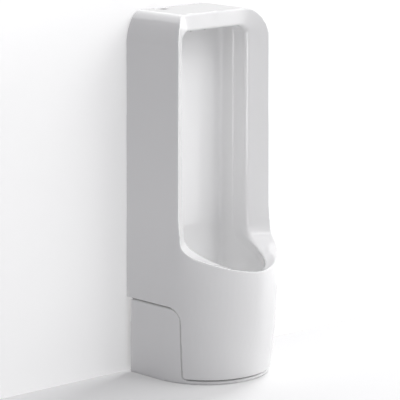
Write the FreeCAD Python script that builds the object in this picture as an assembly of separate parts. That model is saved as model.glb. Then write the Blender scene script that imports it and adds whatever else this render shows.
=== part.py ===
import FreeCAD
import Part
import math
import os

os.makedirs("parts", exist_ok=True)

# Floor standing urinal in millimetres. x runs to the right seen from the front, the front
# looks to -y and z runs up from the floor. Depths (d) are measured forward from the wall.

# Overall size of the ceramic column
height = 1000.0
width_top = 336.0
width_bottom = 350.0
nose_depth = 358.0
skin = 12.0
wall_y = nose_depth / 2.0

# Nose: a superellipse in plan, which draws in and squares up from the lip down to the foot
nose_start = 195.0
nose_lead = 25.0
nose_power = 1.65
nose_level = 290.0
nose_draw = 46.0
nose_round = 60.0
nose_square = 0.4
nose_steps = 8
belly_step = 75.0
belly_steps = 6

# Front of the column: recessed fascia, slanting side bands, rim that runs out round the bowl
side_depth = 212.0
fascia_depth = 170.0
corner_wide = 55.0
corner_tall = 99.0
corner_steps = 8
corner_over = 0.6
rim_level = 366.0
rim_slope = 0.36
rim_bend_inner = 220.0
rim_bend_outer = 160.0
rim_fan = 1.25
rim_over = 1.6
rim_lead = 2.6
rim_swing = 1.75
lip_radius = 9.0
lip_past = 1.0
lip_turns = (90.0, 70.0, 46.0, 23.0, 0.0)

# Opening and bowl
opening_half = 117.0
opening_drop = 47.0
opening_radius = 28.0
recess_back = 75.0
recess_corner = 14.0
recess_radius = 6.0
recess_taper = 6.0
bowl_floor = 195.0
bowl_front = 344.0
bowl_spring = 400.0
bowl_dip = 92.0
bowl_power = 1.6
bowl_middle = 0.58
bowl_steps = 9

# Seam between the column and its plinth
seam_height = 210.0
seam_depth = 214.0
seam_corner = 40.0
seam_foot = 8.0
seam_gap = 4.0
body_bottom = 14.0
plinth_inset = 3.0
plinth_back = 14.0
plinth_wall = 30.0
seal_inset = 6.0

# Cutting blocks run on past the ceramic by this much
beyond = 50.0

top = height - opening_drop
half_turn = math.sqrt(0.5)


def pt(x, d, z):
    """Point at x, d forward of the wall and height z."""
    return FreeCAD.Vector(x, wall_y - d, z)


def half_width(z):
    """Half width of the column at height z."""
    return (width_bottom + (width_top - width_bottom) * z / height) / 2.0


def save(name, shape):
    """Write one named piece."""
    shape.exportStep("parts/" + name + ".step")
    print(name, len(shape.Solids), shape.isValid(), round(shape.Volume / 1000.0, 1))


def block(x0, x1, d0, d1, z0, z1):
    """Box between two x, two depths and two heights, in either order for x."""
    return Part.makeBox(abs(x1 - x0), d1 - d0, z1 - z0, pt(min(x0, x1), d1, z0))


def lines(points):
    """Straight edges from point to point."""
    return [Part.makeLine(a, b) for a, b in zip(points, points[1:])]


# Ceramic column, outside: flat back and sides, half ellipse nose that draws in below the lip
def nose_point(z, turn, inset):
    """Point (x, d) of the nose at height z, where turn runs from the right side to the tip."""
    fall = max(0.0, nose_level - z) / nose_level
    start = nose_start - nose_round * fall
    power = 2.0 / (nose_power + nose_square * fall)
    reach = nose_depth - nose_draw * fall * fall - inset - start
    half = half_width(z) - inset
    return half * math.cos(turn) ** power, start + reach * math.sin(turn) ** power


def plan_wire(z, inset):
    """Plan outline at height z, moved in by inset and run on back through the wall."""
    half = half_width(z) - inset
    right = [nose_point(z, math.pi / 2.0 * i / nose_steps, inset) for i in range(1, nose_steps)]
    right.insert(0, (half, nose_point(z, 0.0, inset)[1] - nose_lead))
    tip = (0.0, nose_point(z, math.pi / 2.0, inset)[1])
    left = [(-x, d) for x, d in reversed(right)]
    arc = [pt(x, d, z) for x, d in right + [tip] + left]
    curve = Part.BSplineCurve()
    curve.interpolate(Points=arc, InitialTangent=FreeCAD.Vector(0, -1, 0),
                      FinalTangent=FreeCAD.Vector(0, 1, 0), Scale=False)
    back = lines([arc[-1], pt(-half, -2.0 * beyond, z), pt(half, -2.0 * beyond, z), arc[0]])
    return Part.Wire(back + [curve.toShape()])


def corner_tool(side, inset):
    """Block outside one rounded top corner, moved in by inset."""
    spring = height - corner_tall
    inner = half_width(spring) - corner_wide
    wide = corner_wide - inset + corner_over
    tall = corner_tall - inset + corner_over
    arc = []
    for i in range(corner_steps + 1):
        turn = math.pi / 2.0 * i / corner_steps
        arc.append(pt(side * (inner + wide * math.cos(turn)), -nose_depth, spring + tall * math.sin(turn)))
    curve = Part.BSplineCurve()
    curve.interpolate(arc)
    outside = lines([arc[-1], pt(side * inner, -nose_depth, height + beyond),
                     pt(side * width_bottom, -nose_depth, height + beyond),
                     pt(side * width_bottom, -nose_depth, spring), arc[0]])
    return Part.Face(Part.Wire([curve.toShape()] + outside)).extrude(FreeCAD.Vector(0, -4.0 * nose_depth, 0))


def column(inset, back, low, high):
    """Outer form of the column between two heights, moved in by inset, its back at depth back."""
    wires = [plan_wire(bowl_spring - belly_step * i, inset) for i in range(belly_steps, -1, -1)]
    form = Part.makeLoft(wires, True, False)
    form = form.common(block(-height, height, back, height, low, min(high, bowl_spring)))
    if high > bowl_spring:
        tower = Part.makeLoft([wires[-1], plan_wire(height, inset)], True, True)
        form = form.fuse(tower.common(block(-height, height, back, height, bowl_spring, high)))
        for side in (1.0, -1.0):
            form = form.cut(corner_tool(side, inset))
    return form


# Rim: a sheet between the inner edge of the opening and the outer edge of the column. Seen
# from the side both edges run down and then bend forward along the sloping lip.
def rim_run(z, start, bend):
    """Depth of a rim edge at height z."""
    rise = z - rim_level
    return start + (math.sqrt(rise * rise + 4.0 * rim_slope * bend) - rise) / (2.0 * rim_slope)


def rim_height(d, start, bend):
    """Height of a rim edge at depth d."""
    return rim_level - rim_slope * (d - start) + bend / (d - start)


def rim_normal(z):
    """Direction (d, z) square to the inner rim edge at height z, into the ceramic."""
    rise = z - rim_level
    run = math.sqrt(rise * rise + 4.0 * rim_slope * rim_bend_inner)
    lean = (rise / run - 1.0) / (2.0 * rim_slope)
    size = math.sqrt(1.0 + lean * lean)
    return -1.0 / size, lean / size


side_shares = (0.92, 0.72, 0.52, 0.32, 0.18, 0.08)
bowl_turns = (0.0, 8.0, 16.0, 25.0, 35.0, 46.0, 58.0, 70.0, 80.0, 90.0)
lip_reach = (side_depth + rim_lead - nose_start) / (nose_depth - nose_start)
lip_turn = math.asin(lip_reach ** (nose_power / 2.0))


def rim_pairs(deep):
    """Inner and outer rim points down the right half of the loop, moved back by deep."""
    pairs = []
    edge = half_width(height)
    straight = opening_half - opening_radius
    for x in (0.0, straight / 2.0, straight):
        pairs.append(((x, fascia_depth, top), (x * rim_fan, fascia_depth, height)))
    for turn in (60.0, 30.0, 0.0):
        c = math.cos(math.radians(turn))
        s = math.sin(math.radians(turn))
        inner = (straight + opening_radius * c, fascia_depth, top - opening_radius + opening_radius * s)
        x = edge - corner_wide + corner_wide * c
        share = max(0.0, (x - opening_half) / (edge - opening_half))
        outer = (x, fascia_depth + share * (side_depth - fascia_depth),
                 height - corner_tall + corner_tall * s)
        pairs.append((inner, outer))
    for share in side_shares:
        z = bowl_spring + share * (height - corner_tall - bowl_spring)
        pairs.append(((opening_half, rim_run(z, fascia_depth, rim_bend_inner), z),
                      (half_width(z), rim_run(z, side_depth, rim_bend_outer), z)))
    for turn in bowl_turns:
        c = math.cos(math.radians(turn))
        s = math.sin(math.radians(turn))
        z = bowl_spring - bowl_dip * s
        inner = (opening_half * c, rim_run(z, fascia_depth, rim_bend_inner), z)
        swing = lip_turn + (math.pi / 2.0 - lip_turn) * (turn / 90.0) ** rim_swing
        x, d = nose_point(rim_level, min(swing, math.pi / 2.0), 0.0)
        outer = (x, d, rim_height(d, side_depth, rim_bend_outer))
        pairs.append((inner, outer))
    moved = []
    for inner, outer in pairs:
        low = deep if inner[2] < bowl_spring else 0.0
        high = deep if inner[2] > top - opening_radius else 0.0
        moved.append(tuple((p[0], p[1] - deep, p[2] - low + high) for p in (inner, outer)))
    return moved


def along(pair, share):
    """Point on the line from the inner to the outer rim point."""
    return tuple(a + share * (b - a) for a, b in zip(pair[0], pair[1]))


def ring(points):
    """Smooth closed loop of the right half points and their mirror."""
    left = [(-p[0], p[1], p[2]) for p in reversed(points[1:-1])]
    loop = [pt(*p) for p in points + left]
    curve = Part.BSplineCurve()
    curve.interpolate(Points=loop, PeriodicFlag=True, Parameters=list(range(len(loop) + 1)))
    return Part.Wire([curve.toShape()])


def rolled(pair, turn):
    """Point of the rounded inner lip, where turn runs from the rim sheet over to the recess."""
    inward = lip_radius * (1.0 - math.sin(turn)) - lip_past * math.sin(turn)
    x, d, z = along(pair, inward / math.dist(pair[0], pair[1]))
    back_d, back_z = rim_normal(pair[0][2])
    fall = lip_radius * (1.0 - math.cos(turn))
    return x, d + fall * back_d, z + fall * back_z


def rim_tool(deep):
    """All that lies in front of the rim sheet, which rolls over into the recess."""
    pairs = rim_pairs(deep)
    lip = [[rolled(pair, math.radians(turn)) for pair in pairs] for turn in lip_turns]
    outside = [along(pair, rim_over) for pair in pairs]
    near = [(p[0], fascia_depth - beyond, p[2]) for p in lip[0]]
    far = [(p[0], 2.0 * nose_depth, p[2]) for p in outside]
    return Part.makeLoft([ring(p) for p in [near] + lip + [outside, far]], True, True)


# Bowl and tall recess: level sections from the bowl floor up, then a straight shaft. Each
# section has its rise above the floor, half width, back depth and front depth.
bowl_levels = [(0.0, 48.0, 142.0, 236.0), (14.0, 76.0, 112.0, 272.0), (48.0, 100.0, 88.0, 312.0),
               (90.0, 112.0, 79.0, 334.0), (140.0, opening_half, recess_back, bowl_front),
               (205.0, opening_half, recess_back, bowl_front)]
round_levels = 4


def bowl_wire(number, grow):
    """Plan outline of one bowl section, moved out by grow."""
    rise, half, back, front = bowl_levels[number]
    z = bowl_floor + rise - (grow if number == 0 else 0.0)
    half = half + grow
    back = back - grow
    front = front + grow
    middle = back + bowl_middle * (front - back) if number < round_levels else fascia_depth
    corner = recess_corner + grow
    flank = half - recess_taper
    cut = corner * (1.0 - half_turn)
    right = []
    for i in range(bowl_steps):
        turn = math.pi / 2.0 * i / bowl_steps
        right.append((half * math.cos(turn) ** (2.0 / bowl_power),
                      middle + (front - middle) * math.sin(turn) ** (2.0 / bowl_power)))
    nose = [pt(x, d, z) for x, d in right + [(0.0, front)]]
    nose += [pt(-x, d, z) for x, d in reversed(right)]
    curve = Part.BSplineCurve()
    curve.interpolate(Points=nose)
    corner_right = Part.Arc(pt(flank - corner, back, z), pt(flank - cut, back + cut, z),
                            pt(flank, back + corner, z)).toShape()
    corner_left = Part.Arc(pt(-flank, back + corner, z), pt(cut - flank, back + cut, z),
                           pt(corner - flank, back, z)).toShape()
    return Part.Wire([Part.makeLine(pt(corner - flank, back, z), pt(flank - corner, back, z)),
                      corner_right,
                      Part.makeLine(pt(flank, back + corner, z), nose[0]),
                      curve.toShape(),
                      Part.makeLine(nose[-1], pt(-flank, back + corner, z)),
                      corner_left])


def bowl(grow):
    """Space of the recess and the bowl, moved out by grow."""
    wires = [bowl_wire(number, grow) for number in range(len(bowl_levels))]
    basin = Part.makeLoft(wires, True, False)
    low = wires[-1].BoundBox.ZMin
    ceiling = top + grow
    shaft = Part.Face(wires[-1]).extrude(FreeCAD.Vector(0, 0, ceiling - low))
    half = opening_half + grow
    front_form = block(-half, half, -beyond, 2.0 * nose_depth, low, ceiling)
    edges = [e for e in front_form.Edges if e.BoundBox.ZMin > low + grow and e.BoundBox.XLength < half]
    front_form = front_form.makeFillet(opening_radius + grow, edges)
    side_form = block(-height, height, recess_back - grow, 2.0 * nose_depth, low, ceiling)
    edges = [e for e in side_form.Edges if e.BoundBox.ZMin > low + grow and e.BoundBox.YMin > 0.0]
    side_form = side_form.makeFillet(recess_radius + grow, edges)
    return basin.fuse(shaft.common(front_form).common(side_form))


# Seam between column and plinth, seen from the side: back edge level, rounded down to the foot
def seam_form(gap):
    """All that lies below the seam line, kept gap away from it."""
    x = -width_bottom
    level = seam_height - gap
    front = seam_depth - gap
    turn = seam_corner - gap
    foot = seam_foot + gap
    low = body_bottom - gap
    far = 2.0 * nose_depth
    rest = 1.0 - half_turn
    corner = Part.Arc(pt(x, front - turn, level), pt(x, front - turn * rest, level - turn * rest),
                      pt(x, front, level - turn)).toShape()
    bend = Part.Arc(pt(x, front, low + foot), pt(x, front + foot * rest, low + foot * rest),
                    pt(x, front + foot, low)).toShape()
    behind_line = lines([pt(x, far, -beyond), pt(x, -beyond, -beyond), pt(x, -beyond, level),
                         pt(x, front - turn, level)])
    front_line = lines([pt(x, front, level - turn), pt(x, front, low + foot)])
    foot_line = lines([pt(x, front + foot, low), pt(x, far, low), pt(x, far, -beyond)])
    outline = Part.Wire(behind_line + [corner] + front_line + [bend] + foot_line)
    return Part.Face(outline).extrude(FreeCAD.Vector(2.0 * width_bottom, 0, 0))


def rod(x, d, z, radius, length, axis):
    """Round bar from a point along +x, +z or, for d, forward."""
    way = {"x": FreeCAD.Vector(1, 0, 0), "z": FreeCAD.Vector(0, 0, 1), "d": FreeCAD.Vector(0, -1, 0)}
    return Part.makeCylinder(radius, length, pt(x, d, z), way[axis])


def tube(x, d, z, outer, inner, length, axis):
    """Round tube from a point along an axis."""
    return rod(x, d, z, outer, length, axis).cut(rod(x, d, z, inner, length, axis))


def hexagon(x, d, z, across, bore, length):
    """Upright hexagon nut."""
    reach = across / math.sqrt(3.0)
    ends = [pt(x + reach * math.cos(math.pi * i / 3.0), d + reach * math.sin(math.pi * i / 3.0), z)
            for i in range(7)]
    nut = Part.Face(Part.makePolygon(ends)).extrude(FreeCAD.Vector(0, 0, length))
    return nut.cut(rod(x, d, z, bore, length, "z"))


# Fits and clearances
gap = 0.3
fit = 0.2

# Water supply: inlet hole in the top, straight feed pipe, jet manifold behind the recess
inlet_x = -65.0
inlet_d = 27.0
inlet_radius = 18.0
pipe_radius = 11.0
pipe_bore = 9.0
pipe_sunk = 8.0
seal_lip = 5.0
seal_sunk = 6.0
jet_drop = 12.0
jet_pitch = 50.0
jet_radius = 3.5
jet_bore = 2.0
jet_head = 4.5
manifold_height = 30.0
manifold_half = 88.0
manifold_wall = 4.0
manifold_back = 12.0
manifold_port = 8.0
socket_height = 16.0
washer = 2.0

# Waste: flange in the bowl floor, trap below it, outlet back to the wall
waste_d = 190.0
waste_hole = 28.5
flange_radius = 41.0
flange_thick = 5.0
tail_radius = 27.5
tail_bore = 23.0
tail_bottom = 146.0
grate_radius = 34.7
grate_thick = 2.2
grate_hole = 3.4
grate_pitch = 12.0
dip_radius = 20.0
dip_bore = 17.0
dip_bottom = 92.0
dip_collar = 8.0
ring_thick = 2.2
trap_radius = 38.0
trap_wall = 3.0
trap_top = 136.0
trap_bottom = 40.0
neck_wall = 5.0
neck_rise = 6.0
nut_wall = 6.0
nut_flange = 4.0
union_gap = 2.0
union_seal = 3.0
cup_deep = 8.0
cup_floor = 4.0
cup_height = 24.0
outlet_z = 108.0
outlet_radius = 25.0
outlet_bore = 22.5
outlet_seal = 4.0
branch_end = 105.0
branch_socket = 24.0
branch_bore = 21.0
collar_thick = 10.0

# Fixings
hook_x = 127.0
hook_drop = 150.0
hook_half = 16.0
hook_plate_down = 70.0
hook_plate_up = 20.0
hook_hole_down = 40.0
lug_half = 22.0
lug_back = 8.0
steel = 3.0
clip_x = 92.0
clip_d = 110.0
clip_half = 18.0
clip_tongue = 12.0
anchor_radius = 4.5

jet_z = top - jet_drop
jet_places = (-jet_pitch, 0.0, jet_pitch)
hook_z = height - hook_drop
under = bowl_floor - skin
behind = recess_back - skin

# Ceramic column
hollow = column(skin, -beyond, body_bottom + skin, height - skin)
hollow = hollow.cut(rim_tool(skin)).cut(bowl(skin))
ceramic_body = column(0.0, 0.0, body_bottom, height).cut(rim_tool(0.0)).cut(bowl(0.0)).cut(hollow)
ceramic_body = ceramic_body.cut(seam_form(0.0).cut(bowl(skin)))
ceramic_body = ceramic_body.cut(column(skin + plinth_wall, 0.0, 0.0, body_bottom + 1.5 * skin))
for side in (1.0, -1.0):
    outer_x = half_width(seam_height) - skin / 2.0
    ledge = block(side * outer_x, side * (outer_x - plinth_wall - skin), 0.0, seam_depth - seam_corner,
                  seam_height, seam_height + skin)
    lug = block(side * (hook_x - lug_half), side * (half_width(hook_z) - skin / 2.0), lug_back,
                lug_back + skin, hook_z, hook_z + skin)
    ceramic_body = ceramic_body.fuse(ledge).fuse(lug)
ceramic_body = ceramic_body.cut(rod(inlet_x, inlet_d, height - 2.0 * skin, inlet_radius, 3.0 * skin, "z"))
ceramic_body = ceramic_body.cut(rod(0.0, waste_d, under - skin, waste_hole, 3.0 * skin, "z"))
for x in jet_places:
    ceramic_body = ceramic_body.cut(rod(x, behind - skin, jet_z, jet_radius + fit, 3.0 * skin, "d"))
save("ceramic_body", ceramic_body)

# Plinth: two cheeks beside the service space, joined by a low strip round the front
plinth_base = column(plinth_inset, plinth_back, 0.0, seam_height).common(seam_form(seam_gap))
shelf = seam_height - seam_gap - skin
plinth_base = plinth_base.cut(column(plinth_inset + skin, -beyond, body_bottom - seam_gap, shelf))
plinth_base = plinth_base.cut(column(plinth_inset + plinth_wall, -beyond, -skin, seam_height))
save("plinth_base", plinth_base)

joint_seal = column(plinth_inset + seal_inset, plinth_back, 0.0, seam_height)
joint_seal = joint_seal.cut(column(plinth_inset + skin, -beyond, -skin, seam_height + skin))
joint_seal = joint_seal.common(seam_form(gap)).cut(seam_form(seam_gap - gap))
save("joint_seal", joint_seal)

# Inlet seal and feed pipe
slab = height - skin
inlet_seal = tube(inlet_x, inlet_d, slab - gap, inlet_radius - fit, pipe_radius + fit,
                  skin + gap - seal_sunk, "z")
inlet_seal = inlet_seal.fuse(tube(inlet_x, inlet_d, slab - seal_lip, inlet_radius + seal_lip,
                                  pipe_radius + fit, seal_lip - gap, "z"))
save("inlet_seal", inlet_seal)

manifold_top = jet_z + manifold_height / 2.0
manifold_low = jet_z - manifold_height / 2.0
manifold_front = behind - washer
save("feed_pipe", tube(inlet_x, inlet_d, manifold_top, pipe_radius, pipe_bore,
                       height - pipe_sunk - manifold_top, "z"))

manifold = block(-manifold_half, manifold_half, manifold_back, manifold_front, manifold_low, manifold_top)
manifold = manifold.fuse(rod(inlet_x, inlet_d, manifold_top, pipe_radius + manifold_wall, socket_height, "z"))
manifold = manifold.cut(block(manifold_wall - manifold_half, manifold_half - manifold_wall,
                              manifold_back + manifold_wall, manifold_front - manifold_wall,
                              manifold_low + manifold_wall, manifold_top - manifold_wall))
manifold = manifold.cut(rod(inlet_x, inlet_d, manifold_top, pipe_radius + fit, socket_height, "z"))
manifold = manifold.cut(rod(inlet_x, inlet_d, jet_z, manifold_port, manifold_height, "z"))
for x in jet_places:
    manifold = manifold.cut(rod(x, manifold_front - 2.0 * manifold_wall, jet_z, jet_radius + fit,
                                3.0 * manifold_wall, "d"))
save("flush_manifold", manifold)

save("feed_pipe_ring", tube(inlet_x, inlet_d, manifold_top + socket_height + gap,
                            pipe_radius + manifold_wall, pipe_radius + fit, washer, "z"))

nozzles = []
front_washers = []
rear_washers = []
stem_start = manifold_front - manifold_wall
stem_end = recess_back + washer
for x in jet_places:
    nozzle = rod(x, stem_start, jet_z, jet_radius, stem_end - stem_start, "d")
    nozzle = nozzle.fuse(rod(x, stem_end, jet_z, jet_head, washer, "d"))
    nozzles.append(nozzle.cut(rod(x, stem_start, jet_z, jet_bore, stem_end + washer - stem_start, "d")))
    front_washers.append(tube(x, recess_back + gap, jet_z, jet_head, jet_radius + fit,
                              washer - 2.0 * gap, "d"))
    rear_washers.append(tube(x, manifold_front + gap, jet_z, jet_head + washer, jet_radius + fit,
                             washer - 2.0 * gap, "d"))
save("jet_nozzles", Part.makeCompound(nozzles))
save("jet_front_washers", Part.makeCompound(front_washers))
save("jet_rear_washers", Part.makeCompound(rear_washers))

# Waste flange with its seals and nut
plate_z = bowl_floor + washer
plate_top = plate_z + flange_thick
grate_z = plate_top - grate_thick - gap
waste_flange = rod(0.0, waste_d, plate_z, flange_radius, flange_thick, "z")
waste_flange = waste_flange.fuse(rod(0.0, waste_d, tail_bottom, tail_radius, plate_z - tail_bottom, "z"))
waste_flange = waste_flange.cut(rod(0.0, waste_d, tail_bottom, tail_bore, plate_top - tail_bottom, "z"))
waste_flange = waste_flange.cut(rod(0.0, waste_d, grate_z - gap, grate_radius + gap, flange_thick, "z"))
save("waste_flange", waste_flange)
save("waste_seal", tube(0.0, waste_d, bowl_floor + gap, flange_radius - gap, tail_radius + gap,
                        washer - 2.0 * gap, "z"))
washer_z = under - gap - washer
save("waste_washer", tube(0.0, waste_d, washer_z, flange_radius, tail_radius + gap, washer, "z"))
save("waste_nut", hexagon(0.0, waste_d, washer_z - gap - skin, 2.0 * flange_radius, tail_radius + fit, skin))

# Lift-out insert: grate, dip tube and its ring
grate = rod(0.0, waste_d, grate_z, grate_radius, grate_thick, "z")
for row, count in ((0, 1), (1, 6), (2, 12)):
    for i in range(count):
        turn = 2.0 * math.pi * i / count
        x = row * grate_pitch * math.cos(turn)
        d = waste_d + row * grate_pitch * math.sin(turn)
        grate = grate.cut(rod(x, d, grate_z, grate_hole, grate_thick, "z"))
save("strainer_grate", grate)
collar_top = grate_z - gap / 3.0
collar_low = collar_top - dip_collar
dip_tube = rod(0.0, waste_d, dip_bottom, dip_radius, collar_top - dip_bottom, "z")
dip_tube = dip_tube.fuse(rod(0.0, waste_d, collar_low, tail_bore - gap, dip_collar, "z"))
dip_tube = dip_tube.cut(rod(0.0, waste_d, dip_bottom, dip_bore, collar_top - dip_bottom, "z"))
save("dip_tube", dip_tube)
save("dip_tube_ring", tube(0.0, waste_d, collar_low - gap - ring_thick, dip_radius + fit + ring_thick,
                           dip_radius + fit, ring_thick, "z"))

# Trap, its nuts and seals
neck_bore = tail_radius + fit
neck_radius = neck_bore + neck_wall
neck_top = tail_bottom + neck_rise
branch_radius = outlet_radius + fit + trap_wall
trap = rod(0.0, waste_d, trap_bottom, trap_radius, trap_top - trap_bottom, "z")
trap = trap.fuse(rod(0.0, waste_d, trap_top, neck_radius, neck_top - trap_top, "z"))
trap = trap.fuse(rod(0.0, branch_end, outlet_z, branch_radius, waste_d - branch_end, "d"))
trap_roof = trap_top - trap_wall
trap = trap.cut(rod(0.0, waste_d, trap_bottom, trap_radius - trap_wall, trap_roof - trap_bottom, "z"))
trap = trap.cut(rod(0.0, waste_d, trap_roof - trap_wall, neck_bore, neck_top - trap_roof + trap_wall, "z"))
trap = trap.cut(rod(0.0, branch_end, outlet_z, outlet_radius + fit, branch_socket, "d"))
trap = trap.cut(rod(0.0, branch_end, outlet_z, branch_bore, waste_d - branch_end, "d"))
save("trap_body", trap)

union_radius = neck_radius + gap + nut_wall
union_low = trap_top + union_gap
union_top = neck_top + union_seal + 2.0 * gap
save("trap_union_seal", tube(0.0, waste_d, neck_top + gap, neck_radius, tail_radius + gap, union_seal, "z"))
union = tube(0.0, waste_d, union_low, union_radius, neck_radius + gap, union_top - union_low, "z")
union = union.fuse(tube(0.0, waste_d, union_top, union_radius, tail_radius + gap, nut_flange, "z"))
save("trap_union_nut", union)

cup_z = trap_bottom - cup_deep
cup = rod(0.0, waste_d, cup_z - cup_floor, trap_radius + gap + nut_wall, cup_height, "z")
save("trap_cup", cup.cut(rod(0.0, waste_d, cup_z, trap_radius + gap, cup_height, "z")))
save("trap_cup_seal", tube(0.0, waste_d, cup_z + gap, trap_radius, trap_radius - cup_floor,
                           cup_deep - 2.0 * gap, "z"))

# Outlet pipe to the wall
pipe_end = branch_end + branch_socket - cup_floor
save("outlet_pipe", tube(0.0, 0.0, outlet_z, outlet_radius, outlet_bore, pipe_end, "d"))
seal_d = branch_end - gap - outlet_seal
save("outlet_seal", tube(0.0, seal_d, outlet_z, branch_radius, outlet_radius + gap, outlet_seal, "d"))
outlet_nut = tube(0.0, seal_d - gap, outlet_z, branch_radius + gap + nut_wall, branch_radius + gap,
                  branch_socket - nut_flange, "d")
outlet_nut = outlet_nut.fuse(tube(0.0, seal_d - gap - nut_flange, outlet_z, branch_radius + gap + nut_wall,
                                  outlet_radius + gap, nut_flange, "d"))
save("outlet_nut", outlet_nut)
save("wall_collar", tube(0.0, 0.0, outlet_z, outlet_radius + skin, outlet_radius + gap, collar_thick, "d"))

# Wall hooks under the ceramic lugs, and clips that hold the plinth to the floor
hooks = []
clips = []
tongue_z = body_bottom - seam_gap + gap
lug_front = lug_back + skin
for side in (1.0, -1.0):
    x = side * hook_x
    plate = block(x - hook_half, x + hook_half, 0.0, steel, hook_z - hook_plate_down, hook_z + hook_plate_up)
    tongue = block(x - hook_half, x + hook_half, 0.0, lug_front + 2.0 * steel, hook_z - gap - steel,
                   hook_z - gap)
    lip = block(x - hook_half, x + hook_half, lug_front + steel, lug_front + 2.0 * steel, hook_z - steel,
                hook_z + skin)
    hook = plate.fuse(tongue).fuse(lip)
    hooks.append(hook.cut(rod(x, -skin, hook_z - hook_hole_down, anchor_radius, 2.0 * skin, "d")))
    x = side * clip_x
    edge = side * (half_width(0.0) - plinth_inset - plinth_wall - gap)
    low_d = clip_d - clip_half
    high_d = clip_d + clip_half
    foot = block(x - side * clip_half, edge, low_d, high_d, 0.0, steel)
    rise = block(edge - side * steel, edge, low_d, high_d, 0.0, tongue_z + steel)
    tongue = block(edge - side * steel, edge + side * clip_tongue, low_d, high_d, tongue_z, tongue_z + steel)
    clip = foot.fuse(rise).fuse(tongue)
    clips.append(clip.cut(rod(x, clip_d, -skin, anchor_radius, 2.0 * skin, "z")))
save("wall_hooks", Part.makeCompound(hooks))
save("floor_clips", Part.makeCompound(clips))
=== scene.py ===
import math

import bmesh
import bpy
from mathutils import Matrix, Vector
from mathutils.bvhtree import BVHTree


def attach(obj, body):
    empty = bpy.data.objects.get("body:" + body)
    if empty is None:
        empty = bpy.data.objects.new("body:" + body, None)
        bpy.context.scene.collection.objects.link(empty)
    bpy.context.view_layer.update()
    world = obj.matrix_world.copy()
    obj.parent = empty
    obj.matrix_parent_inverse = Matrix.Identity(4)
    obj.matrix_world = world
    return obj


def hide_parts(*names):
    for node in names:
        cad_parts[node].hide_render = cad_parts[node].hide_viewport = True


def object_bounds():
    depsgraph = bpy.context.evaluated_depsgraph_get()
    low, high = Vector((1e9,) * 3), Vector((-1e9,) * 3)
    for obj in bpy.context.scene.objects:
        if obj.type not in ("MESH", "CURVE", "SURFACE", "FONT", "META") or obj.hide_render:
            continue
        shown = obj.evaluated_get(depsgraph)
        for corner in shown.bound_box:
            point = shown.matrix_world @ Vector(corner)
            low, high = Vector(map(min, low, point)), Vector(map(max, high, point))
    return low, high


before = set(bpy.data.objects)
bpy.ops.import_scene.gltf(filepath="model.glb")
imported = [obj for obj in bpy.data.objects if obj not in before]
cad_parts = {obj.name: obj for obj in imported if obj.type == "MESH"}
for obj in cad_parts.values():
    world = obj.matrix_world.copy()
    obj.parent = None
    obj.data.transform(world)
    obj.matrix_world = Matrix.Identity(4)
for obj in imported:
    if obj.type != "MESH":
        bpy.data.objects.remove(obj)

cad_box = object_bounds()

# Ceramic column: slip-cast vitreous china, hollow and open at the back, with the recess, the bowl
# and its lip cast in one. The glaze rounds every arris, so the solid is closed up into even quads
# and relaxed, most of all on the crown and at the turn into the bowl. The inside stays bare.
glaze_white = (0.88, 0.88, 0.88, 1.0)
glaze_roughness = 0.11
glaze_index = 1.5
gloss_spread = 0.2
fleck_scale = 5.0
fleck_tone = 0.985
wave_detail = 1.0
wave_strength = 0.05
wave_depth = 0.002
column_wave = 6.0
bare_cream = (0.74, 0.72, 0.67, 1.0)
bare_roughness = 0.8
spray_clear = 0.001
spray_ways = (Vector((0.0, -1.0, 0.0)), Vector((0.0, -0.6, 0.8)), Vector((0.0, -0.1, 1.0)),
              Vector((0.0, -0.8, -0.6)), Vector((0.6, -0.4, 0.7)), Vector((-0.6, -0.4, 0.7)),
              Vector((0.3, -0.2, 0.9)), Vector((-0.3, -0.2, 0.9)))
merge_distance = 1e-5
relax_share = 0.5
column_voxel = 0.002
column_rounds = 3
column_triangles = 180000
crown_rounds = 20
crown_low = 0.970
crown_half = 0.135
crown_step = 0.0015
turn_rounds = 80
turn_low = 0.405
turn_high = 0.480
turn_half = 0.100
turn_front = 0.030


def spread(nodes, links, value, low, high):
    """Map a value from nought to one onto a range."""
    node = nodes.new("ShaderNodeMapRange")
    node.inputs["To Min"].default_value = low
    node.inputs["To Max"].default_value = high
    links.new(value, node.inputs["Value"])
    return node.outputs["Result"]


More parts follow.
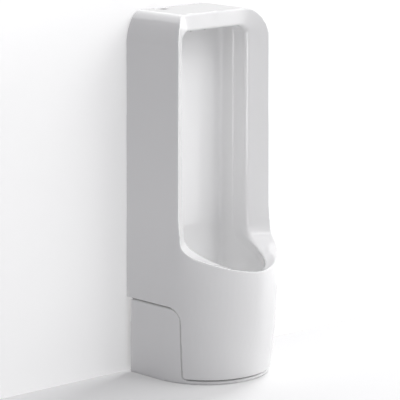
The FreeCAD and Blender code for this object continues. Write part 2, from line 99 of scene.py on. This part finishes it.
def glaze_flow():
    """Node group: slow waves of the glaze as a height, faint flecks as colour and roughness."""
    group = bpy.data.node_groups.new("glaze_flow", "ShaderNodeTree")
    group.interface.new_socket("Scale", in_out="INPUT", socket_type="NodeSocketFloat")
    group.interface.new_socket("Base", in_out="INPUT", socket_type="NodeSocketColor")
    group.interface.new_socket("Height", in_out="OUTPUT", socket_type="NodeSocketFloat")
    group.interface.new_socket("Color", in_out="OUTPUT", socket_type="NodeSocketColor")
    group.interface.new_socket("Roughness", in_out="OUTPUT", socket_type="NodeSocketFloat")
    nodes = group.nodes
    links = group.links
    inputs = nodes.new("NodeGroupInput")
    outputs = nodes.new("NodeGroupOutput")
    place = nodes.new("ShaderNodeTexCoord")
    wave = nodes.new("ShaderNodeTexNoise")
    wave.inputs["Detail"].default_value = wave_detail
    links.new(place.outputs["Object"], wave.inputs["Vector"])
    links.new(inputs.outputs["Scale"], wave.inputs["Scale"])
    links.new(wave.outputs["Fac"], outputs.inputs["Height"])
    fleck = nodes.new("ShaderNodeTexNoise")
    fleck.inputs["Scale"].default_value = fleck_scale
    links.new(place.outputs["Object"], fleck.inputs["Vector"])
    tint = nodes.new("ShaderNodeMix")
    tint.data_type = "RGBA"
    tint.blend_type = "MULTIPLY"
    tint.inputs["Factor"].default_value = 1.0
    links.new(inputs.outputs["Base"], tint.inputs["A"])
    tone = spread(nodes, links, fleck.outputs["Fac"], fleck_tone, 1.0)
    links.new(tone, tint.inputs["B"])
    links.new(tint.outputs["Result"], outputs.inputs["Color"])
    gloss = spread(nodes, links, fleck.outputs["Fac"], glaze_roughness * (1.0 - gloss_spread),
                   glaze_roughness * (1.0 + gloss_spread))
    links.new(gloss, outputs.inputs["Roughness"])
    return group


flow_group = glaze_flow()


def new_material(name):
    """New material, with its nodes and its links."""
    material = bpy.data.materials.new(name)
    material.use_nodes = True
    return material, material.node_tree.nodes, material.node_tree.links


def glaze(name, wave_scale):
    """White fired glaze over china, which stays bare and matt where a piece is marked so."""
    material, nodes, links = new_material(name)
    shader = nodes["Principled BSDF"]
    shader.inputs["IOR"].default_value = glaze_index
    flow = nodes.new("ShaderNodeGroup")
    flow.node_tree = flow_group
    flow.inputs["Scale"].default_value = wave_scale
    flow.inputs["Base"].default_value = glaze_white
    bump = nodes.new("ShaderNodeBump")
    bump.inputs["Strength"].default_value = wave_strength
    bump.inputs["Distance"].default_value = wave_depth
    links.new(flow.outputs["Height"], bump.inputs["Height"])
    links.new(bump.outputs["Normal"], shader.inputs["Normal"])
    bare = nodes.new("ShaderNodeAttribute")
    bare.attribute_name = "bare"
    body = nodes.new("ShaderNodeMix")
    body.data_type = "RGBA"
    body.inputs["B"].default_value = bare_cream
    links.new(bare.outputs["Fac"], body.inputs["Factor"])
    links.new(flow.outputs["Color"], body.inputs["A"])
    links.new(body.outputs["Result"], shader.inputs["Base Color"])
    matt = nodes.new("ShaderNodeMix")
    matt.inputs["B"].default_value = bare_roughness
    links.new(bare.outputs["Fac"], matt.inputs["Factor"])
    links.new(flow.outputs["Roughness"], matt.inputs["A"])
    links.new(matt.outputs["Result"], shader.inputs["Roughness"])
    return material


def mark_bare(piece):
    """Mark the points that a spray of glaze from the front, above and below doesn't reach."""
    shape = bmesh.new()
    shape.from_mesh(piece.data)
    walls = BVHTree.FromBMesh(shape)
    shape.free()
    bare = piece.data.attributes.new("bare", "FLOAT", "POINT")
    for vert in piece.data.vertices:
        start = vert.co + spray_clear * vert.normal
        if all(walls.ray_cast(start, way)[0] is not None for way in spray_ways):
            bare.data[vert.index].value = 1.0


def put(name, data):
    """New object in the scene."""
    thing = bpy.data.objects.new(name, data)
    bpy.context.scene.collection.objects.link(thing)
    return thing


def merged(node):
    """Working copy of a solid, with its doubled points joined."""
    shape = bmesh.new()
    shape.from_mesh(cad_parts[node].data)
    bmesh.ops.remove_doubles(shape, verts=shape.verts, dist=merge_distance)
    return shape


def to_mesh(name, shape):
    """New mesh from a working copy, which is freed."""
    mesh = bpy.data.meshes.new(name)
    shape.to_mesh(mesh)
    shape.free()
    return mesh


def applied(piece, kind, **settings):
    """New mesh of a piece with one modifier applied, which comes off again."""
    modifier = piece.modifiers.new(kind.lower(), kind)
    for setting, value in settings.items():
        setattr(modifier, setting, value)
    evaluated = piece.evaluated_get(bpy.context.evaluated_depsgraph_get())
    mesh = bpy.data.meshes.new_from_object(evaluated)
    piece.modifiers.clear()
    return mesh


def relax(shell, verts, rounds):
    """Move each point half way to the middle of its neighbours, a number of times."""
    for step in range(rounds):
        bmesh.ops.smooth_vert(shell, verts=verts, factor=relax_share, use_axis_x=True,
                              use_axis_y=True, use_axis_z=True)


def ease_column(shell):
    """Relax the crown, less towards its ends, and the turn from the recess into the bowl."""
    for step in range(crown_rounds):
        reach = crown_half - step * crown_step
        relax(shell, [vert for vert in shell.verts
                      if vert.co.z > crown_low and abs(vert.co.x) < reach], 1)
    relax(shell, [vert for vert in shell.verts
                  if turn_low < vert.co.z < turn_high and abs(vert.co.x) < turn_half
                  and vert.co.y > turn_front], turn_rounds)


def cast_copy(node, name, voxel, rounds, triangles, ease=None):
    """Copy of a solid, closed into even quads, relaxed so that its edges round off and thinned."""
    mesh = to_mesh(name, merged(node))
    piece = put(name, mesh)
    quads = applied(piece, "REMESH", mode="VOXEL", voxel_size=voxel)
    shell = bmesh.new()
    shell.from_mesh(quads)
    relax(shell, shell.verts, rounds)
    if ease:
        ease(shell)
    bmesh.ops.triangulate(shell, faces=shell.faces)
    share = min(1.0, triangles / len(shell.faces))
    shell.to_mesh(mesh)
    shell.free()
    bpy.data.meshes.remove(quads)
    thinned = applied(piece, "DECIMATE", ratio=share)
    piece.data = thinned
    bpy.data.meshes.remove(mesh)
    thinned.name = name
    thinned.shade_smooth()
    return piece


def fit_piece(piece, node, body, material):
    """Give a new piece its finish and let it stand for a solid on its body."""
    piece.data.materials.clear()
    piece.data.materials.append(material)
    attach(piece, body)
    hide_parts(node)


column = cast_copy("ceramic_body", "glazed_column", column_voxel, column_rounds, column_triangles,
                   ease_column)
mark_bare(column)
fit_piece(column, "ceramic_body", "urinal", glaze("column_glaze", column_wave))

# Plinth: a second casting of the same china, a U of two cheeks and a low front strip that the
# column stands on, set back behind a shadow gap and bedded on sealant.
plinth_voxel = 0.003
plinth_rounds = 2
plinth_triangles = 30000
plinth_wave = 7.0
plinth = cast_copy("plinth_base", "glazed_plinth", plinth_voxel, plinth_rounds, plinth_triangles)
mark_bare(plinth)
fit_piece(plinth, "plinth_base", "urinal", glaze("plinth_glaze", plinth_wave))

# Sealant joint: a bead of grey sanitary silicone pressed into the gap between column and plinth
# and smoothed off below the surface, so that the seam shows as a thin dark line.
sealant_grey = (0.33, 0.33, 0.33, 1.0)
all_ways = (1.0, 1.0, 1.0)
grain_detail = 4.0
grain_strength = 0.3
shade_low = 0.86
shade_high = 1.06
wear_low = 0.75
wear_high = 1.25


def surface_grain():
    """Node group: fine grain of a worked surface, as a colour, a roughness and a height."""
    group = bpy.data.node_groups.new("surface_grain", "ShaderNodeTree")
    group.interface.new_socket("Base", in_out="INPUT", socket_type="NodeSocketColor")
    group.interface.new_socket("Roughness", in_out="INPUT", socket_type="NodeSocketFloat")
    group.interface.new_socket("Scale", in_out="INPUT", socket_type="NodeSocketFloat")
    group.interface.new_socket("Stretch", in_out="INPUT", socket_type="NodeSocketVector")
    group.interface.new_socket("Color", in_out="OUTPUT", socket_type="NodeSocketColor")
    group.interface.new_socket("Roughness", in_out="OUTPUT", socket_type="NodeSocketFloat")
    group.interface.new_socket("Height", in_out="OUTPUT", socket_type="NodeSocketFloat")
    nodes = group.nodes
    links = group.links
    inputs = nodes.new("NodeGroupInput")
    outputs = nodes.new("NodeGroupOutput")
    place = nodes.new("ShaderNodeTexCoord")
    stretch = nodes.new("ShaderNodeVectorMath")
    stretch.operation = "MULTIPLY"
    links.new(place.outputs["Object"], stretch.inputs[0])
    links.new(inputs.outputs["Stretch"], stretch.inputs[1])
    grain = nodes.new("ShaderNodeTexNoise")
    grain.inputs["Detail"].default_value = grain_detail
    links.new(stretch.outputs["Vector"], grain.inputs["Vector"])
    links.new(inputs.outputs["Scale"], grain.inputs["Scale"])
    links.new(grain.outputs["Fac"], outputs.inputs["Height"])
    tint = nodes.new("ShaderNodeVectorMath")
    tint.operation = "SCALE"
    links.new(inputs.outputs["Base"], tint.inputs[0])
    shade = spread(nodes, links, grain.outputs["Fac"], shade_low, shade_high)
    links.new(shade, tint.inputs["Scale"])
    links.new(tint.outputs["Vector"], outputs.inputs["Color"])
    rough = nodes.new("ShaderNodeMath")
    rough.operation = "MULTIPLY"
    links.new(inputs.outputs["Roughness"], rough.inputs[0])
    wear = spread(nodes, links, grain.outputs["Fac"], wear_low, wear_high)
    links.new(wear, rough.inputs[1])
    links.new(rough.outputs["Value"], outputs.inputs["Roughness"])
    return group


grain_group = surface_grain()


def worked(name, color, metallic, roughness, scale, stretch, depth):
    """Finish of a moulded, drawn or turned piece, from the shared grain."""
    material, nodes, links = new_material(name)
    shader = nodes["Principled BSDF"]
    shader.inputs["Metallic"].default_value = metallic
    grain = nodes.new("ShaderNodeGroup")
    grain.node_tree = grain_group
    grain.inputs["Base"].default_value = color
    grain.inputs["Roughness"].default_value = roughness
    grain.inputs["Scale"].default_value = scale
    grain.inputs["Stretch"].default_value = stretch
    bump = nodes.new("ShaderNodeBump")
    bump.inputs["Strength"].default_value = grain_strength
    bump.inputs["Distance"].default_value = depth
    links.new(grain.outputs["Height"], bump.inputs["Height"])
    links.new(bump.outputs["Normal"], shader.inputs["Normal"])
    links.new(grain.outputs["Color"], shader.inputs["Base Color"])
    links.new(grain.outputs["Roughness"], shader.inputs["Roughness"])
    return material


def dress(node, material):
    """Give a solid that stays as it is its finish."""
    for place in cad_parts[node].material_slots:
        place.material = material


dress("joint_seal", worked("sealant", sealant_grey, metallic=0.0, roughness=0.5, scale=220.0,
                           stretch=all_ways, depth=0.0003))

# Rubber seals: black moulded rings and washers under each nut, flange and pipe end, and the
# grommet in the inlet hole. They are pressed between the pieces that they seal.
rubber_black = (0.030, 0.030, 0.031, 1.0)
rubber = worked("seal_rubber", rubber_black, metallic=0.0, roughness=0.62, scale=300.0,
                stretch=all_ways, depth=0.0002)
for ring in ("inlet_seal", "feed_pipe_ring", "jet_front_washers", "jet_rear_washers", "waste_seal",
             "waste_washer", "dip_tube_ring", "trap_union_seal", "trap_cup_seal", "outlet_seal"):
    dress(ring, rubber)

# Feed pipe: a short drawn brass tube that takes the water from the flush valve above down through
# the grommet into the manifold. Its ends are cut square and broken with a file.
brass_yellow = (0.66, 0.48, 0.21, 1.0)
drawn = (1.0, 1.0, 0.08)
sharp_angle = math.radians(35.0)
flat_angle = math.radians(0.5)
ease_segments = 2
ease_profile = 0.5
pipe_ease = 0.0005


def eased_copy(node, name, ease):
    """Copy of a hard solid with its sharp edges broken."""
    shape = merged(node)
    bmesh.ops.dissolve_limit(shape, angle_limit=flat_angle, verts=shape.verts, edges=shape.edges)
    sharp = [edge for edge in shape.edges
             if edge.is_manifold and edge.calc_face_angle() > sharp_angle]
    bmesh.ops.bevel(shape, geom=sharp, offset=ease, offset_type="OFFSET", affect="EDGES",
                    segments=ease_segments, profile=ease_profile, clamp_overlap=True, material=-1)
    mesh = to_mesh(name, shape)
    mesh.shade_smooth()
    mesh.set_sharp_from_angle(angle=sharp_angle)
    return put(name, mesh)


brass = worked("drawn_brass", brass_yellow, metallic=1.0, roughness=0.24, scale=90.0,
               stretch=drawn, depth=0.0001)
feed_pipe = eased_copy("feed_pipe", "brass_feed_pipe", pipe_ease)
fit_piece(feed_pipe, "feed_pipe", "urinal", brass)

# Flush manifold: a welded box of white polypropylene behind the recess, with a socket for the feed
# pipe on top and three outlets in front. The jets clamp it to the china.
plastic_white = (0.74, 0.74, 0.72, 1.0)
mould_ease = 0.0012
plastic = worked("moulded_plastic", plastic_white, metallic=0.0, roughness=0.36, scale=160.0,
                 stretch=all_ways, depth=0.0002)
manifold = eased_copy("flush_manifold", "moulded_manifold", mould_ease)
fit_piece(manifold, "flush_manifold", "urinal", plastic)

# Jet nozzles: three small turned plastic spigots with a round head, pushed through the china from
# the recess into the manifold, which spread the flush over the back wall.
jet_ease = 0.0004
nozzles = eased_copy("jet_nozzles", "turned_jet_nozzles", jet_ease)
fit_piece(nozzles, "jet_nozzles", "urinal", plastic)

# Waste flange: a chromed brass cup with a threaded tail, set in the floor of the bowl on its seal
# and drawn down by the nut below.
chrome_tone = (0.78, 0.79, 0.80, 1.0)
flange_ease = 0.0008
chrome = worked("polished_chrome", chrome_tone, metallic=1.0, roughness=0.09, scale=60.0,
                stretch=all_ways, depth=0.00005)
flange = eased_copy("waste_flange", "chromed_waste_flange", flange_ease)
fit_piece(flange, "waste_flange", "urinal", chrome)

# Waste nut: a plain hexagon of cast brass on the tail, which pulls the flange and its washer tight
# against the china.
nut_ease = 0.0012
nut_brass = worked("cast_brass", brass_yellow, metallic=1.0, roughness=0.34, scale=240.0,
                   stretch=all_ways, depth=0.0002)
waste_nut = eased_copy("waste_nut", "cast_waste_nut", nut_ease)
fit_piece(waste_nut, "waste_nut", "urinal", nut_brass)

# Strainer grate and dip tube: a punched stainless disc over a plastic tube, which lift out of the
# waste together by hand for cleaning.
steel_tone = (0.60, 0.60, 0.61, 1.0)
brushed = (1.0, 0.05, 1.0)
insert_ease = 0.0003
stainless = worked("brushed_stainless", steel_tone, metallic=1.0, roughness=0.26, scale=500.0,
                   stretch=brushed, depth=0.00005)
grate = eased_copy("strainer_grate", "punched_strainer", insert_ease)
fit_piece(grate, "strainer_grate", "lift_out_insert", stainless)
dip_tube = eased_copy("dip_tube", "moulded_dip_tube", insert_ease)
fit_piece(dip_tube, "dip_tube", "lift_out_insert", plastic)

# Trap: a moulded barrel with a side branch, hung from the waste tail by its union nut and closed
# below by a cup that screws off for cleaning.
trap_ease = 0.0010
for node, name in (("trap_body", "moulded_trap_barrel"), ("trap_union_nut", "moulded_union_nut"),
                   ("trap_cup", "moulded_trap_cup")):
    fit_piece(eased_copy(node, name, trap_ease), node, "urinal", plastic)

# Outlet: a plastic pipe from the branch back to the drain in the wall, with its slip nut, and the
# rubber collar that closes the hole in the wall round it.
for node, name in (("outlet_pipe", "moulded_outlet_pipe"), ("outlet_nut", "moulded_outlet_nut")):
    fit_piece(eased_copy(node, name, trap_ease), node, "urinal", plastic)
collar = eased_copy("wall_collar", "moulded_wall_collar", mould_ease)
fit_piece(collar, "wall_collar", "urinal", rubber)

# Wall hooks and floor clips: folded strips of zinc-coated steel. The hooks are screwed to the wall
# and carry the lugs of the column, and the clips hold the plinth down to the floor.
zinc_tone = (0.52, 0.53, 0.54, 1.0)
strip_ease = 0.0005
zinc = worked("zinc_coat", zinc_tone, metallic=1.0, roughness=0.42, scale=45.0,
              stretch=all_ways, depth=0.0002)
for node, name in (("wall_hooks", "folded_wall_hooks"), ("floor_clips", "folded_floor_clips")):
    fit_piece(eased_copy(node, name, strip_ease), node, "urinal", zinc)

# Floor and wall: plain sheets of the studio, which take the shadow and are no part of the object.
# The camera and mirrors see their paint lifted towards white, most of all far away. The wall gives
# no bounce and casts no shadow, isn't mirrored and isn't seen from behind.
floor_size = 12.0
floor_tone = (0.64, 0.64, 0.64, 1.0)
wall_tone = (0.80, 0.80, 0.80, 1.0)
bounce_tone = (0.63, 0.63, 0.63, 1.0)
floor_lift = 0.12
wall_lift = 0.27
far_lift = 0.75
fade_start = 1.0
fade_end = 2.6
wall_y = cad_box[1][1]
wall_clear = 0.002


def seen_rays(nodes, links):
    """One for rays of the camera, of mirrors and through glass, nought for all other rays."""
    path = nodes.new("ShaderNodeLightPath")
    total = path.outputs["Is Camera Ray"]
    for ray in ("Is Glossy Ray", "Is Transmission Ray"):
        either = nodes.new("ShaderNodeMath")
        either.operation = "MAXIMUM"
        links.new(total, either.inputs[0])
        links.new(path.outputs[ray], either.inputs[1])
        total = either.outputs["Value"]
    return total


def studio_sheet(name, tone, lift, one_sided):
    """Painted sheet material, lifted towards white for the camera and mirrors, more so far away."""
    material, nodes, links = new_material(name)
    nodes.clear()
    paint = nodes.new("ShaderNodeBsdfDiffuse")
    paint.inputs["Color"].default_value = tone
    glow = nodes.new("ShaderNodeEmission")
    place = nodes.new("ShaderNodeTexCoord")
    reach = nodes.new("ShaderNodeVectorMath")
    reach.operation = "LENGTH"
    links.new(place.outputs["Object"], reach.inputs[0])
    fade = nodes.new("ShaderNodeMapRange")
    fade.inputs["From Min"].default_value = fade_start
    fade.inputs["From Max"].default_value = fade_end
    fade.inputs["To Min"].default_value = lift
    fade.inputs["To Max"].default_value = far_lift
    links.new(reach.outputs["Value"], fade.inputs["Value"])
    links.new(fade.outputs["Result"], glow.inputs["Strength"])
    bounce = nodes.new("ShaderNodeBsdfDiffuse")
    bounce.inputs["Color"].default_value = bounce_tone
    lifted = nodes.new("ShaderNodeAddShader")
    links.new(paint.outputs["BSDF"], lifted.inputs[0])
    links.new(glow.outputs["Emission"], lifted.inputs[1])
    choose = nodes.new("ShaderNodeMixShader")
    links.new(seen_rays(nodes, links), choose.inputs["Fac"])
    links.new(bounce.outputs["BSDF"], choose.inputs[1])
    links.new(lifted.outputs["Shader"], choose.inputs[2])
    surface = choose.outputs["Shader"]
    if one_sided:
        side = nodes.new("ShaderNodeNewGeometry")
        clear = nodes.new("ShaderNodeBsdfTransparent")
        front = nodes.new("ShaderNodeMixShader")
        links.new(side.outputs["Backfacing"], front.inputs["Fac"])
        links.new(surface, front.inputs[1])
        links.new(clear.outputs["BSDF"], front.inputs[2])
        surface = front.outputs["Shader"]
    output = nodes.new("ShaderNodeOutputMaterial")
    links.new(surface, output.inputs["Surface"])
    return material


def sheet(name, turn, place, material):
    """Flat square sheet of the studio."""
    shape = bmesh.new()
    bmesh.ops.create_grid(shape, x_segments=1, y_segments=1, size=floor_size)
    bmesh.ops.rotate(shape, verts=shape.verts, cent=(0.0, 0.0, 0.0),
                     matrix=Matrix.Rotation(turn, 3, "X"))
    bmesh.ops.translate(shape, verts=shape.verts, vec=place)
    mesh = to_mesh(name, shape)
    mesh.materials.append(material)
    piece = put(name, mesh)
    return piece


floor = sheet("studio_floor", 0.0, (0.0, 0.0, 0.0),
              studio_sheet("floor_paint", floor_tone, floor_lift, False))
wall = sheet("studio_wall", math.pi / 2.0, (0.0, wall_y + wall_clear, 0.0),
             studio_sheet("wall_paint", wall_tone, wall_lift, True))
wall.visible_diffuse = False
wall.visible_glossy = False
wall.visible_shadow = False

# Studio light: a pale surround, a large soft key at the right in front, a fill from above in front
# and a low one from the right. One lamp lights the floor alone, and two show only as reflections:
# one along the left edges and one on the crown from behind.
surround_level = 0.42
surround_tint = (0.97, 0.96, 1.0, 1.0)
paper_level = 1.0
paper_white = (1.0, 1.0, 1.0, 1.0)
lamp_aim = Vector((0.0, 0.0, 0.5))
world = bpy.data.worlds.new("pale_studio")
world.use_nodes = True
bpy.context.scene.world = world
world_nodes = world.node_tree.nodes
world_links = world.node_tree.links
surround = world_nodes["Background"]
surround.inputs["Color"].default_value = surround_tint
surround.inputs["Strength"].default_value = surround_level
paper = world_nodes.new("ShaderNodeBackground")
paper.inputs["Color"].default_value = paper_white
paper.inputs["Strength"].default_value = paper_level
choose_paper = world_nodes.new("ShaderNodeMixShader")
world_links.new(seen_rays(world_nodes, world_links), choose_paper.inputs["Fac"])
world_links.new(surround.outputs["Background"], choose_paper.inputs[1])
world_links.new(paper.outputs["Background"], choose_paper.inputs[2])
world_links.new(choose_paper.outputs["Shader"], world_nodes["World Output"].inputs["Surface"])


def soft_box(name, turn, rise, far, width, tall, watts):
    """Rectangular lamp aimed at the column, at a turn right of the front and a rise in degrees."""
    bearing = math.radians(turn)
    height = math.radians(rise)
    way = Vector((math.cos(height) * math.sin(bearing), -math.cos(height) * math.cos(bearing),
                  math.sin(height)))
    lamp = bpy.data.lights.new(name, "AREA")
    lamp.shape = "RECTANGLE"
    lamp.size = width
    lamp.size_y = tall
    lamp.energy = watts
    holder = put(name, lamp)
    holder.location = lamp_aim + far * way
    holder.rotation_euler = (-way).to_track_quat("-Z", "Y").to_euler()
    return holder


soft_box("key_box", turn=40.0, rise=38.0, far=4.0, width=3.0, tall=2.4, watts=75.0)
soft_box("front_box", turn=0.0, rise=58.0, far=4.0, width=1.6, tall=1.6, watts=29.0)
floor_box = soft_box("floor_box", turn=102.0, rise=50.0, far=4.0, width=1.6, tall=1.6, watts=104.0)
floor_only = bpy.data.collections.new("floor_only")
floor_only.objects.link(floor)
floor_box.light_linking.receiver_collection = floor_only
soft_box("side_box", turn=75.0, rise=8.0, far=4.0, width=1.5, tall=2.0, watts=20.0)
edge_box = soft_box("edge_box", turn=-66.0, rise=8.0, far=3.0, width=0.9, tall=2.4, watts=40.0)
edge_box.visible_diffuse = False
crown_box = soft_box("crown_box", turn=165.0, rise=42.0, far=6.0, width=6.6, tall=3.9, watts=135.0)
crown_box.visible_diffuse = False

# Camera: well back with a long lens, to the left of the front and above the column, tilted a
# little down. The values are a fit to the edges that the photo shows.
view_angle = math.radians(42.46)
view_pitch = math.radians(11.01)
focal_pixels = 2534.47
picture_pixels = 400.0
sensor_width = 36.0
far_clip = 60.0
eye = Vector((-4.6144, wall_y - 5.1546, 1.8038))
look = Vector((math.sin(view_angle) * math.cos(view_pitch),
               math.cos(view_angle) * math.cos(view_pitch), -math.sin(view_pitch)))
camera_data = bpy.data.cameras.new("photo_camera")
camera_data.sensor_fit = "HORIZONTAL"
camera_data.sensor_width = sensor_width
camera_data.lens = sensor_width * (focal_pixels / picture_pixels)
camera_data.clip_end = far_clip
camera = put("photo_camera", camera_data)
camera.location = eye
camera.rotation_euler = look.to_track_quat("-Z", "Y").to_euler()
bpy.context.scene.camera = camera

bpy.context.scene.view_settings.view_transform = "Standard"
